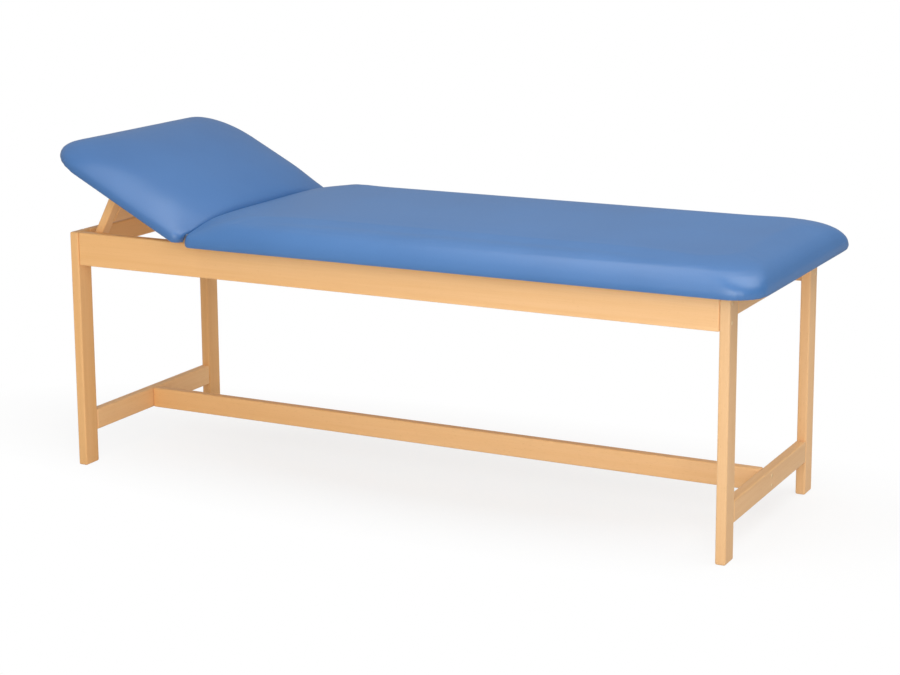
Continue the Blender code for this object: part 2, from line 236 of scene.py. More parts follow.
@dataclass(frozen=True)
class BeechFinish:
    """Pale beech under clear satin lacquer, with fibres along one axis."""

    name: str
    grain: Grain
    seed: float
    tilt: float = 0.0
    tone: float = 1.0
    # Share of the painted head-end shade that the piece gets.
    head_shade_share: float = 1.0
    pale: Colour = (0.920, 0.570, 0.280)
    warm: Colour = (0.850, 0.490, 0.210)
    vein: Colour = (0.630, 0.320, 0.110)
    # Painted light: the head-end tint darkens and warms the wood as shade would, and the foot-end
    # tint makes it paler as more light would.
    head_shade_tint: Colour = (1.00, 0.93, 0.80)
    foot_light_tint: Colour = (1.00, 1.01, 1.04)
    head_end: float = -0.90
    foot_end: float = 0.85
    seed_shift: tuple[float, float, float] = (3.71, 1.93, 2.57)

    def _figure(self, graph: Graph, along: float, across: float, **shape: float) -> Value:
        """Noise that is stretched along the fibres.

        Args:
            graph: The graph of the finish.
            along: Texture scale along the fibres.
            across: Texture scale across them.
            shape: Detail, roughness and twist of the noise.

        Returns:
            The stretched noise.
        """
        sizes = {Grain.ALONG: (along, across, across), Grain.ACROSS: (across, along, across)}
        scale = sizes.get(self.grain, (across, across, along))
        shift = tuple(self.seed * step for step in self.seed_shift)
        return graph.noise(graph.place(scale, shift, (0.0, self.tilt, 0.0)), 1.0, **shape)

    def _tint(self, graph: Graph) -> Value:
        """Tone of the piece, partly the wood's own and partly painted shade: warmer and darker
        towards the head end, paler towards the foot.

        Args:
            graph: The graph of the finish.

        Returns:
            The colour that the wood is multiplied by.
        """
        where = graph.node("ShaderNodeTexCoord", {}, {}, "Object")
        along = graph.node("ShaderNodeSeparateXYZ", {}, {0: where}, "X")
        share = graph.spread(along, self.head_end, self.foot_end, 0.0, 1.0)
        head = [self.tone * (1.0 + (part - 1.0) * self.head_shade_share) for part in self.head_shade_tint]
        foot = [self.tone * part for part in self.foot_light_tint]
        return graph.mix(share, (*head, 1.0), (*foot, 1.0))

    def material(self) -> bpy.types.Material:
        """Build the lacquered beech.

        Returns:
            The finished material.
        """
        made, graph = new_graph(self.name)
        broad = self._figure(graph, 0.7, 9.0, detail=3.0, rough=0.5, twist=0.4)
        band = self._figure(graph, 1.1, 55.0, detail=4.0, rough=0.55, twist=0.5)
        fibre = self._figure(graph, 9.0, 900.0, detail=3.0, rough=0.6)
        fleck = self._figure(graph, 95.0, 620.0, detail=1.0, rough=0.4)
        tone = graph.spread(broad * 0.5 + band * 0.5, 0.34, 0.66, 0.0, 1.0)
        wood = graph.mix(tone, (*self.warm, 1.0), (*self.pale, 1.0))
        marks = ((band, 0.62, 0.72, 0.20), (fibre, 0.35, 0.75, 0.14), (fleck, 0.66, 0.74, 0.26))
        for figure, low, high, share in marks:
            mark = graph.spread(figure, low, high, 0.0, share)
            wood = graph.mix(mark, wood, (*self.vein, 1.0))
        wood = graph.mix(1.0, wood, self._tint(graph), "MULTIPLY")
        inputs = {
            "Base Color": wood,
            "Roughness": graph.spread(fibre, 0.3, 0.7, 0.38, 0.50),
            "Normal": graph.bump(fibre * 0.6 + fleck * 0.4, 0.10, 0.0003),
            "Specular IOR Level": 0.40,
            "Coat Weight": 0.10,
            "Coat Roughness": 0.30,
        }
        graph.surface(inputs)
        return made


@dataclass(frozen=True)
class PlugFinish:
    """A beech plug's end grain, in a paler colour than the bars around it."""

    name: str
    pale: Colour = (0.880, 0.640, 0.370)
    pore: Colour = (0.640, 0.390, 0.170)

    def material(self) -> bpy.types.Material:
        """Build the end grain.

        Returns:
            The finished material.
        """
        made, graph = new_graph(self.name)
        pores = graph.noise(graph.place(offset=(0.4, 0.9, 0.2)), 1500.0, 2.0)
        dots = graph.spread(pores, 0.56, 0.72, 0.0, 0.45)
        inputs = {
            "Base Color": graph.mix(dots, (*self.pale, 1.0), (*self.pore, 1.0)),
            "Roughness": graph.spread(pores, 0.3, 0.7, 0.40, 0.52),
            "Normal": graph.bump(pores, 0.10, 0.0002),
        }
        graph.surface(inputs)
        return made


@dataclass(frozen=True)
class PlywoodFinish:
    """Sanded plywood face with broad, calm figure."""

    name: str
    pale: Colour = (0.640, 0.455, 0.270)
    dark: Colour = (0.500, 0.330, 0.180)

    def material(self) -> bpy.types.Material:
        """Build the plywood.

        Returns:
            The finished material.
        """
        made, graph = new_graph(self.name)
        figure = graph.noise(graph.place((1.1, 11.0, 11.0), (4.1, 0.7, 2.2)), 1.0, 4.0, 0.55, 1.3)
        fibre = graph.noise(graph.place((8.0, 600.0, 600.0), (1.3, 2.9, 0.4)), 1.0, 3.0, 0.6)
        tone = graph.spread(figure * 0.8 + fibre * 0.2, 0.38, 0.66, 0.0, 1.0)
        wood = graph.mix(tone, (*self.dark, 1.0), (*self.pale, 1.0))
        inputs = {
            "Base Color": wood,
            "Roughness": graph.spread(fibre, 0.3, 0.7, 0.58, 0.72),
            "Normal": graph.bump(fibre, 0.15, 0.0003),
        }
        graph.surface(inputs)
        return made


@dataclass(frozen=True)
class LeatheretteFinish:
    """Blue leatherette: fine pebbled grain with a soft sheen."""

    name: str
    base: Colour = (0.064, 0.190, 0.448)
    deep: Colour = (0.057, 0.175, 0.420)
    pebble: float = 760.0
    # How dark the painted shade in the grain's creases is.
    crease_shade_tone: float = 0.72

    def material(self) -> bpy.types.Material:
        """Build the leatherette.

        Returns:
            The finished material.
        """
        made, graph = new_graph(self.name)
        where = graph.place()
        cloud = graph.noise(where, 3.2, 3.0)
        warp = graph.noise(where, self.pebble * 0.5, 2.0)
        sockets = {"Vector": where, "Scale": self.pebble, "Randomness": 1.0}
        cell = graph.node("ShaderNodeTexVoronoi", {"feature": "F1"}, sockets, "Distance")
        crease = graph.spread(cell, 0.15, 0.75, 1.0, 0.0)
        height = crease * 0.75 + warp * 0.25
        shade = graph.spread(cloud, 0.36, 0.64, 0.0, 1.0)
        colour = graph.mix(shade, (*self.deep, 1.0), (*self.base, 1.0))
        # Painted shade: the pebble grain's creases are darkened as shade would darken them.
        pit = graph.spread(cell, 0.45, 0.85, 0.0, 0.22)
        colour = graph.mix(pit, colour, (*[part * self.crease_shade_tone for part in self.deep], 1.0))
        inputs = {
            "Base Color": colour,
            "Roughness": graph.spread(cloud * 0.5 + warp * 0.5, 0.3, 0.7, 0.34, 0.42),
            "Normal": graph.bump(height, 0.20, 0.0004),
            "Specular IOR Level": 0.80,
        }
        graph.surface(inputs)
        return made


@dataclass(frozen=True)
class SteelFinish:
    """Zinc-plated hinge steel, drawn along the couch's width."""

    name: str
    pale: Colour = (0.66, 0.66, 0.64)
    dull: Colour = (0.50, 0.50, 0.49)

    def material(self) -> bpy.types.Material:
        """Build the plated steel.

        Returns:
            The finished material.
        """
        made, graph = new_graph(self.name)
        drawn = graph.noise(graph.place((900.0, 14.0, 900.0), (0.3, 0.8, 0.1)), 1.0, 2.0)
        bloom = graph.noise(graph.place(), 70.0, 3.0)
        tone = graph.spread(drawn * 0.5 + bloom * 0.5, 0.35, 0.65, 0.0, 1.0)
        inputs = {
            "Base Color": graph.mix(tone, (*self.dull, 1.0), (*self.pale, 1.0)),
            "Metallic": 1.0,
            "Roughness": graph.spread(bloom, 0.3, 0.7, 0.28, 0.42),
            "Normal": graph.bump(drawn, 0.06, 0.0002),
        }
        graph.surface(inputs)
        return made


def clear_selection() -> None:
    """Leave object mode with nothing selected."""
    if bpy.context.object and bpy.context.object.mode != "OBJECT":
        bpy.ops.object.mode_set(mode="OBJECT")
    bpy.ops.object.select_all(action="DESELECT")


def pick(piece: bpy.types.Object) -> None:
    """Make one object the only selected and active one.

    Args:
        piece: The object.
    """
    clear_selection()
    piece.select_set(True)
    bpy.context.view_layer.objects.active = piece


def settle(piece: bpy.types.Object, name: str) -> bpy.types.Object:
    """Name a piece and put its place into its mesh.

    Args:
        piece: The object to finish.
        name: Its new name, which its mesh takes too.

    Returns:
        The same object, at the origin.
    """
    pick(piece)
    bpy.ops.object.transform_apply(location=True, rotation=True, scale=True)
    piece.name = name
    piece.data.name = name
    return piece


def apply_modifier(piece: bpy.types.Object, kind: str, **settings: Any) -> None:
    """Add a modifier, set it and apply it.

    Args:
        piece: The object to change.
        kind: Type name of the modifier.
        settings: Attributes of the modifier.
    """
    pick(piece)
    step = piece.modifiers.new("step", kind)
    for name, setting in settings.items():
        setattr(step, name, setting)
    bpy.ops.object.modifier_apply(modifier=step.name)


def select_faces(piece: bpy.types.Object, test: Callable[[bmesh.types.BMFace], bool]) -> None:
    """Select the faces that pass a test, in edit mode.

    Args:
        piece: The object, which must be in edit mode.
        test: Takes a face and says whether it is wanted.
    """
    bpy.ops.mesh.select_mode(type="FACE")
    bpy.ops.mesh.select_all(action="DESELECT")
    mesh = bmesh.from_edit_mesh(piece.data)
    for face in mesh.faces:
        face.select_set(test(face))
    mesh.select_flush_mode()
    bmesh.update_edit_mesh(piece.data)


def dress(piece: bpy.types.Object, material: bpy.types.Material) -> None:
    """Give every slot of a piece one material.

    Args:
        piece: The object to dress.
        material: Its finish.
    """
    slots = piece.data.materials
    if not slots:
        slots.append(material)
    for index in range(len(slots)):
        slots[index] = material


def read_points(piece: bpy.types.Object, attribute: str = "co") -> np.ndarray:
    """Coordinates or normals of a piece's points.

    Args:
        piece: The mesh object.
        attribute: "co" for places or "normal" for directions.

    Returns:
        One row of three numbers for each point.
    """
    flat = np.empty(len(piece.data.vertices) * 3, dtype=np.float32)
    piece.data.vertices.foreach_get(attribute, flat)
    return flat.reshape(-1, 3).astype(np.float64)


def write_points(piece: bpy.types.Object, points: np.ndarray) -> None:
    """Write a piece's points back."""
    piece.data.vertices.foreach_set("co", points.astype(np.float32).ravel())
    piece.data.update()


def copy_node(name: str) -> bpy.types.Object:
    """A free copy of a solid, its triangles merged.

    Args:
        name: Name of the node.

    Returns:
        The copy, at the origin.
    """
    pick(frame["nodes"][name])
    bpy.ops.object.duplicate()
    piece = bpy.context.object
    matrix = piece.matrix_world.copy()
    piece.parent = None
    piece.matrix_world = matrix
    bpy.ops.object.transform_apply(location=True, rotation=True, scale=True)
    bpy.ops.object.mode_set(mode="EDIT")
    bpy.ops.mesh.select_all(action="SELECT")
    bpy.ops.mesh.remove_doubles(threshold=0.00001)
    bpy.ops.object.mode_set(mode="OBJECT")
    return piece


def spread_copies(master: bpy.types.Object, spots: Sequence[Matrix], name: str) -> bpy.types.Object:
    """Set copies of a small shape at many spots and join them into one piece.

    Args:
        master: The shape, which goes away.
        spots: Place and turn of each copy.
        name: Name of the joined piece.

    Returns:
        The joined piece, at the origin.
    """
    copies = []
    for spot in spots:
        pick(master)
        bpy.ops.object.duplicate()
        bpy.context.object.matrix_world = spot
        copies.append(bpy.context.object)
    bpy.data.objects.remove(master, do_unlink=True)
    clear_selection()
    for piece in copies:
        piece.select_set(True)
    bpy.context.view_layer.objects.active = copies[0]
    bpy.ops.object.join()
    return settle(copies[0], name)


@dataclass(frozen=True)
class Place:
    """Axes of one part of the couch, with the origin on its hinge line."""

    origin: Vector
    tilt: float

    def matrix(self) -> Matrix:
        """Turn and shift from these axes to the couch's."""
        return Matrix.Translation(self.origin) @ Matrix.Rotation(self.tilt, 4, "Y")

    def lowered(self, drop: float) -> "Place":
        """The same axes with the origin moved down along their own Z."""
        return Place(self.matrix() @ Vector((0.0, 0.0, -drop)), self.tilt)

    def local(self, points: np.ndarray) -> np.ndarray:
        """Points of the couch seen in these axes."""
        turn = np.array(self.matrix().to_3x3())
        return (points - np.array(self.origin)) @ turn

    def shared(self, points: np.ndarray) -> np.ndarray:
        """Points of these axes seen in the couch's own."""
        turn = np.array(self.matrix().to_3x3())
        return points @ turn.T + np.array(self.origin)


def joint_place(name: str, tilt: float) -> Place:
    """Axes on a joint's line.

    Args:
        name: Name of the joint.
        tilt: Turn of the moving part about Y at rest.

    Returns:
        The axes.
    """
    joint = next(item for item in frame["joints"] if item["name"] == name)
    return Place(Vector(joint["pos_m"]), tilt)


@dataclass
class Timber:
    """The beech frame and the folding support, each piece with its own run of grain."""

    tilt: float = PROP_ANGLE
    seed_start: float = 1.0
    seed_step: float = 0.737

    # Bars that get none of the painted head-end shade.
    WITHOUT_HEAD_SHADE: ClassVar[tuple[str, ...]] = ("cross_head",)
    # Each bar's tone number is partly its own colour and partly painted light: bars were made
    # lighter or darker for how light falls on their faces.
    PIECES: ClassVar[dict[str, tuple[Grain, float]]] = {
        "leg_head_left": (Grain.UPRIGHT, 1.00),
        "leg_head_right": (Grain.UPRIGHT, 1.00),
        "leg_foot_left": (Grain.UPRIGHT, 0.92),
        "leg_foot_right": (Grain.UPRIGHT, 1.03),
        "rail_left": (Grain.ALONG, 1.03),
        "rail_right": (Grain.ALONG, 1.03),
        "apron_head": (Grain.ACROSS, 1.06),
        "apron_foot": (Grain.ACROSS, 0.98),
        "cross_head": (Grain.ACROSS, 1.08),
        "cross_foot": (Grain.ACROSS, 0.95),
        "stretcher_long": (Grain.ALONG, 1.06),
        "support_seat_left": (Grain.ACROSS, 1.00),
        "support_seat_right": (Grain.ACROSS, 1.00),
        "support_board": (Grain.ACROSS, 1.00),
        "support_arm_left": (Grain.UPRIGHT, 1.03),
        "support_arm_right": (Grain.UPRIGHT, 1.02),
    }

    def dress_nodes(self) -> None:
        """Lacquer every wooden node."""
        for index, (name, (grain, tone)) in enumerate(self.PIECES.items()):
            tilt = -self.tilt if name.startswith("support_arm") else 0.0
            head_shade_share = 0.0 if name in self.WITHOUT_HEAD_SHADE else 1.0
            seed = self.seed_start + index * self.seed_step
            finish = BeechFinish(f"beech_{name}", grain, seed, tilt, tone, head_shade_share)
            dress(frame["nodes"][name], finish.material())
            LOG.info("lacquered %s", name)


@dataclass
class Plugs:
    """Wooden plugs over the screws that hold the rails and the stretcher to the end frames."""

    sides: int = 28
    radius: float = 0.005
    depth: float = 0.004
    proud: float = 0.0004
    dome: float = 0.0003
    dome_steps: tuple[tuple[float, float], ...] = ((0.4, 0.5), (0.3, 0.3))
    rail_spread: float = 0.022
    stretcher_spread: float = 0.012

    def build(self, finish: bpy.types.Material) -> None:
        """Model one plug and set it over every screw.

        Args:
            finish: The end grain.
        """
        plugs = spread_copies(self._plug(), self._spots(), "wood_plugs")
        bpy.ops.object.shade_smooth_by_angle(angle=SHARP_ANGLE)
        dress(plugs, finish)
        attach(plugs, "frame")

    def _plug(self) -> bpy.types.Object:
        """Model a plug along Z with a soft rim and a slightly domed face.

        Returns:
            The plug, at the origin.
        """
        clear_selection()
        bpy.ops.mesh.primitive_cylinder_add(
            vertices=self.sides, radius=self.radius, depth=self.depth
        )
        plug = bpy.context.object
        bpy.ops.object.mode_set(mode="EDIT")
        select_faces(plug, lambda face: face.normal.z > FACES_UP)
        bpy.ops.mesh.bevel(offset=self.dome, segments=2)
        select_faces(plug, lambda face: face.normal.z > FACES_UP)
        for reach, rise in self.dome_steps:
            bpy.ops.mesh.inset(thickness=self.radius * reach, depth=self.dome * rise)
        bpy.ops.object.mode_set(mode="OBJECT")
        return plug

    def _spots(self) -> list[Matrix]:
        """Where each plug sits, facing out of the end frames.

        Returns:
            Place and turn of each plug.
        """
        spots = []
        for end, facing in (("head", -1.0), ("foot", 1.0)):
            side = 0 if facing < 0.0 else 1
            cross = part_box(f"cross_{end}")
            face = cross[side][0] + facing * (self.proud - self.depth / 2)
            turn = Matrix.Rotation(facing * math.pi / 2, 4, "Y")
            middle = (cross[0][2] + cross[1][2]) / 2
            heights = [(0.0, middle, self.stretcher_spread)]
            for hand in ("left", "right"):
                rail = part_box(f"rail_{hand}")
                across = (rail[0][1] + rail[1][1]) / 2
                heights.append((across, (rail[0][2] + rail[1][2]) / 2, self.rail_spread))
            for across, level, spread in heights:
                for step in (-spread, spread):
                    spots.append(Matrix.Translation((face, across, level + step)) @ turn)
        return spots


@dataclass
class Cushion:
    """One pad of foam in its leatherette cover, drawn over its base board and stapled below.

    In the pad's own axes X runs from the hinge line and Z from the pad's lower edge.
    """

    node: str
    body: str
    place: Place
    corner: float
    voxel: float
    seed: float
    length: float = 0.0
    half_width: float = 0.0

    # Lower edge and crown.
    underside: float = 0.0005
    edge_drop: float = 0.005
    lip: tuple[float, float] = (0.008, 0.016)
    lip_height: float = 0.002
    crown_start: float = 0.022
    crown_rise: float = 0.040
    fullness: float = 0.004
    fullness_fade: float = 0.100

    # Rounded shoulders at the two ends of the seam.
    seam_start: float = 0.010
    seam_fade: float = 0.140
    shoulder: float = 0.032
    shoulder_drop: float = 0.48
    drop_reach: float = 0.300
    lean_reach: float = 0.170

    # Smoothing, in pairs of steps that shrink the form and grow it again.
    soft_start: float = 0.006
    soft_fade: float = 0.010
    soft_steps: tuple[float, float] = (0.5, -0.52)
    even_turns: int = 10
    swell_turns: int = 5

    # Swelling of the cover.
    held_level: float = 0.040
    free_level: float = 0.070
    shrink: float = 0.0004
    cap: float = 0.003
    pressure: float = 4.0
    frames: int = 16
    fill: float = 0.75

    # Pulls in the cover above its stapled edge.
    pull_start: float = 0.008
    pull_end: float = 0.050
    pull_fade: float = 0.030
    pull_waves: tuple[float, float, float] = (13.0, 13.0, 5.0)
    pull_depth: float = 0.0008

    # Hem and staples.
    hem_inset: float = 0.006
    hem_width: float = 0.036
    hem_thick: float = 0.0012
    hem_clear: float = 1.6
    hem_cuts: int = 5
    hem_waves: float = 21.0
    hem_wander: float = 0.006
    hem_angle: float = math.radians(40.0)
    staple_size: tuple[float, float, float] = (0.0100, 0.0013, 0.0007)
    staple_edge: float = 0.0003
    staple_inset: float = 0.030
    staple_start: float = 0.09
    staple_step: float = 0.048
    staple_drop: float = 0.0001
    staple_skew: float = 0.16
    skew_step: float = 2.4
    corner_angles: tuple[float, ...] = (22.0, 45.0, 68.0)

    CLOTH: ClassVar[dict[str, Any]] = {
        "quality": 4,
        "mass": 0.4,
        "tension_stiffness": 25.0,
        "compression_stiffness": 25.0,
        "bending_stiffness": 2.0,
        "use_pressure": True,
        "pin_stiffness": 1.0,
    }

    def build(self, cover: bpy.types.Material, steel: bpy.types.Material) -> None:
        """Model the pad, its hem and its staples.

        Args:
            cover: The leatherette.
            steel: The staple wire.
        """
        shell = self._shell()
        pick(shell)
        bpy.ops.object.duplicate()
        self._hem(bpy.context.object, cover)
        self._staples(steel)
        self._even(shell)
        self._inflate(shell)
        self._pull(shell)
        apply_modifier(shell, "SUBSURF", levels=1, render_levels=1)
        settle(shell, f"{self.node}_cover")
        bpy.ops.object.shade_smooth()
        dress(shell, cover)
        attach(shell, self.body)
        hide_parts(self.node)
        LOG.info("%s: %d faces", shell.name, len(shell.data.polygons))

    def _shell(self) -> bpy.types.Object:
        """Take the pad's full outer form, closed below, and measure it.

        Returns:
            The form as one convex shell.
        """
        shell = copy_node(self.node)
        bpy.ops.object.mode_set(mode="EDIT")
        bpy.ops.mesh.select_all(action="SELECT")
        bpy.ops.mesh.convex_hull(join_triangles=True)
        bpy.ops.object.mode_set(mode="OBJECT")
        local = self.place.local(read_points(shell))
        self.length = float(np.abs(local[:, 0]).max())
        self.half_width = float(np.abs(local[:, 1]).max())
        return shell

    def _side(self) -> float:
        """Which way the pad runs from its seam."""
        return 1.0 if self.body == "frame" else -1.0

    def _hem(self, strip: bpy.types.Object, cover: bpy.types.Material) -> None:
        """The cover's turned-in edge on the underside, open at the seam.

        Args:
            strip: A copy of the pad's form, which becomes the hem.
            cover: The leatherette.
        """
        up = self.place.matrix().to_3x3() @ Vector((0.0, 0.0, 1.0))
        along = self.place.matrix().to_3x3() @ Vector((self._side(), 0.0, 0.0))
        pick(strip)
        bpy.ops.object.mode_set(mode="EDIT")
        select_faces(strip, lambda face: face.normal.dot(up) > FACES_DOWN)
        bpy.ops.mesh.delete(type="FACE")
        bpy.ops.mesh.select_all(action="SELECT")
        bpy.ops.mesh.dissolve_faces()
        bpy.ops.mesh.inset(thickness=self.hem_inset)
        bpy.ops.mesh.select_all(action="INVERT")
        bpy.ops.mesh.delete(type="FACE")
        bpy.ops.mesh.select_all(action="SELECT")
        bpy.ops.mesh.inset(thickness=self.hem_width)
        bpy.ops.mesh.delete(type="FACE")
        near = self.hem_width * self.hem_clear
        seam = self.place.origin
        select_faces(strip, lambda face: (face.calc_center_median() - seam).dot(along) < near)
        bpy.ops.mesh.delete(type="FACE")
        bpy.ops.mesh.select_all(action="SELECT")
        bpy.ops.mesh.subdivide(number_cuts=self.hem_cuts)
        bpy.ops.object.mode_set(mode="OBJECT")
        points = self.place.local(read_points(strip))
        loose = np.clip(self._inset(points) / self.hem_width, 0.0, 1.0) ** 2
        for index, (along_pad, across, _) in enumerate(points * self.hem_waves):
            wave = noise.noise(Vector((along_pad + self.seed, across, 0.0)))
            points[index, :2] *= 1.0 + self.hem_wander * wave * loose[index]
        write_points(strip, self.place.shared(points))
        apply_modifier(strip, "SOLIDIFY", thickness=self.hem_thick, offset=1.0)
        settle(strip, f"{self.node}_hem")
        bpy.ops.object.shade_smooth_by_angle(angle=self.hem_angle)
        dress(strip, cover)
        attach(strip, self.body)
        LOG.info("%s: %d faces", strip.name, len(strip.data.polygons))

    def _staples(self, steel: bpy.types.Material) -> None:
        """A row of staples along the hem.

        Args:
            steel: The staple wire.
        """
        clear_selection()
        bpy.ops.mesh.primitive_cube_add(size=1.0)
        staple = bpy.context.object
        staple.scale = self.staple_size
        bpy.ops.object.transform_apply(location=False, rotation=False, scale=True)
        apply_modifier(staple, "BEVEL", width=self.staple_edge, segments=1)
        bar = spread_copies(staple, self._staple_spots(), f"{self.node}_staples")
        dress(bar, steel)
        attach(bar, self.body)

    def _staple_spots(self) -> list[Matrix]:
        """Lay out the staples below the hem, along its sides, end and corners.

        Returns:
            Place and turn of each staple.
        """
        side = self._side()
        reach = self.length - self.staple_inset
        edge = self.half_width - self.staple_inset
        bend = self.corner - self.staple_inset
        spots = []
        count = int((self.length - self.corner - self.staple_start) / self.staple_step)
        for step in range(count + 1):
            along = self.staple_start + step * self.staple_step
            spots.append((along, edge, 0.0))
            spots.append((along, -edge, 0.0))
        count = int((2 * self.half_width - 2 * self.corner) / self.staple_step)
        for step in range(count + 1):
            spots.append((reach, (step - count / 2) * self.staple_step, math.pi / 2))
        for hand in (-1.0, 1.0):
            for angle in map(math.radians, self.corner_angles):
                along = self.length - self.corner + bend * math.cos(angle)
                across = hand * (self.half_width - self.corner + bend * math.sin(angle))
                spots.append((along, across, side * hand * (angle + math.pi / 2)))
        turned = []
        for index, (along, across, turn) in enumerate(spots):
            skew = self.staple_skew * math.sin(index * self.skew_step + self.seed)
            level = Vector((side * along, across, -self.hem_thick - self.staple_drop))
            spot = Matrix.Translation(level) @ Matrix.Rotation(turn + skew, 4, "Z")
            turned.append(self.place.matrix() @ spot)
        return turned

    def _even(self, pad: bpy.types.Object) -> None:
        """Give the pad an even mesh, soft above its edge and clear of the board's underside.

        Args:
            pad: The pad's outer form.
        """
        local = self.place.local(read_points(pad))
        local[local[:, 2] < self.underside, 2] -= self.edge_drop
        write_points(pad, self.place.shared(local))
        apply_modifier(pad, "REMESH", mode="VOXEL", voxel_size=self.voxel, adaptivity=0.0)
        self._soften(pad, self.even_turns)
        local = self.place.local(read_points(pad))
        floor = np.interp(self._inset(local), self.lip, (-self.hem_thick, self.lip_height))
        local[:, 2] = np.maximum(local[:, 2], floor)
        self._round(local)
        write_points(pad, self.place.shared(local))

    def _round(self, local: np.ndarray) -> None:
        """Fill the crown and round the shoulders at the two ends of the seam.

        Args:
            local: The pad's points in its own axes, which are moved.
        """
        rise = np.clip((local[:, 2] - self.crown_start) / self.crown_rise, 0.0, 1.0)
        rise = rise * rise * (3.0 - 2.0 * rise)
        seam = np.abs(local[:, 0]) - self.seam_start
        away = np.clip(seam / self.fullness_fade, 0.0, 1.0)
        near = np.clip(1.0 - seam / self.seam_fade, 0.0, 1.0) ** 2 * rise
        edge = np.abs(local[:, 1]) - self.half_width
        drop = np.clip(edge / self.drop_reach + 1.0, 0.0, 1.0) ** 2
        lean = np.clip(edge / self.lean_reach + 1.0, 0.0, 1.0) ** 2
        fall = self.shoulder * self.shoulder_drop * near * drop
        local[:, 2] += self.fullness * away * rise - fall
        local[:, 1] -= np.sign(local[:, 1]) * self.shoulder * near * lean

    def _inset(self, local: np.ndarray) -> np.ndarray:
        """How far points lie inside the pad's rounded outline.

        Args:
            local: Points in the pad's own axes.

        Returns:
            The distance of each point from the outline, seen from above.
        """
        along = self._side() * local[:, 0] - (self.length - self.corner)
        across = np.abs(local[:, 1]) - (self.half_width - self.corner)
        bent = (along > 0.0) & (across > 0.0)
        reach = np.where(bent, np.hypot(along, across), np.maximum(along, across))
        return self.corner - reach

    def _soften(self, pad: bpy.types.Object, turns: int) -> None:
        """Smooth the pad above its lower edge without making it smaller.

        Args:
            pad: The pad to smooth.
            turns: How often the smoothing runs.
        """
        levels = self.place.local(read_points(pad))[:, 2]
        soft = pad.vertex_groups.new(name="soft")
        shares = np.clip((levels - self.soft_start) / self.soft_fade, 0.0, 1.0)
        for index, share in enumerate(shares):
            soft.add([index], float(share), "REPLACE")
        for factor in self.soft_steps * turns:
            apply_modifier(pad, "SMOOTH", factor=factor, iterations=1, vertex_group="soft")
        pad.vertex_groups.clear()

    def _inflate(self, pad: bpy.types.Object) -> None:
        """Let the cover swell over the foam while its lower edge stays on the board.

        Args:
            pad: The pad to inflate.
        """
        full = read_points(pad)
        local = self.place.local(full)
        fade = self.free_level - self.held_level
        hold = np.clip((self.free_level - local[:, 2]) / fade, 0.0, 1.0)
        hem = pad.vertex_groups.new(name="hem")
        for index in np.flatnonzero(hold > 0.0):
            hem.add([int(index)], float(hold[index]), "REPLACE")
        # A cover that starts a little small is stretched tight by the pressure.
        start = full - read_points(pad, "normal") * (self.shrink * (1.0 - hold))[:, None]
        write_points(pad, start)
        pick(pad)
        cloth = pad.modifiers.new("cover", "CLOTH")
        for name, setting in self.CLOTH.items():
            setattr(cloth.settings, name, setting)
        cloth.settings.uniform_pressure_force = self.pressure
        cloth.settings.effector_weights.gravity = 0.0
        cloth.settings.vertex_group_mass = hem.name
        cloth.point_cache.frame_start = 1
        cloth.point_cache.frame_end = self.frames
        scene = bpy.context.scene
        for step in range(1, self.frames + 1):
            scene.frame_set(step)
        bpy.ops.object.modifier_apply(modifier=cloth.name)
        scene.frame_set(1)
        move = read_points(pad) - full
        length = np.linalg.norm(move, axis=1)
        share = np.minimum(1.0, self.cap / np.maximum(length, 1e-9))
        LOG.info("%s swelled by up to %.1f mm", self.node, 1000.0 * float(length.max()))
        write_points(pad, full + move * share[:, None])
        pad.vertex_groups.clear()
        self._soften(pad, self.swell_turns)

    def _pull(self, pad: bpy.types.Object) -> None:
        """Soft pulls in the cover above its stapled edge.

        Args:
            pad: The pad to shape.
        """
        points = read_points(pad)
        level = self.place.local(points)[:, 2]
        side = np.clip(level / self.pull_start, 0.0, 1.0)
        side = side * np.clip((self.pull_end - level) / self.pull_fade, 0.0, 1.0)
        places = points * np.array(self.pull_waves) + np.array([self.seed, 0.0, 0.0])
        wave = np.array([noise.noise(Vector(place)) for place in places])
        move = read_points(pad, "normal") * (wave * side * self.pull_depth)[:, None]
        write_points(pad, points + move)


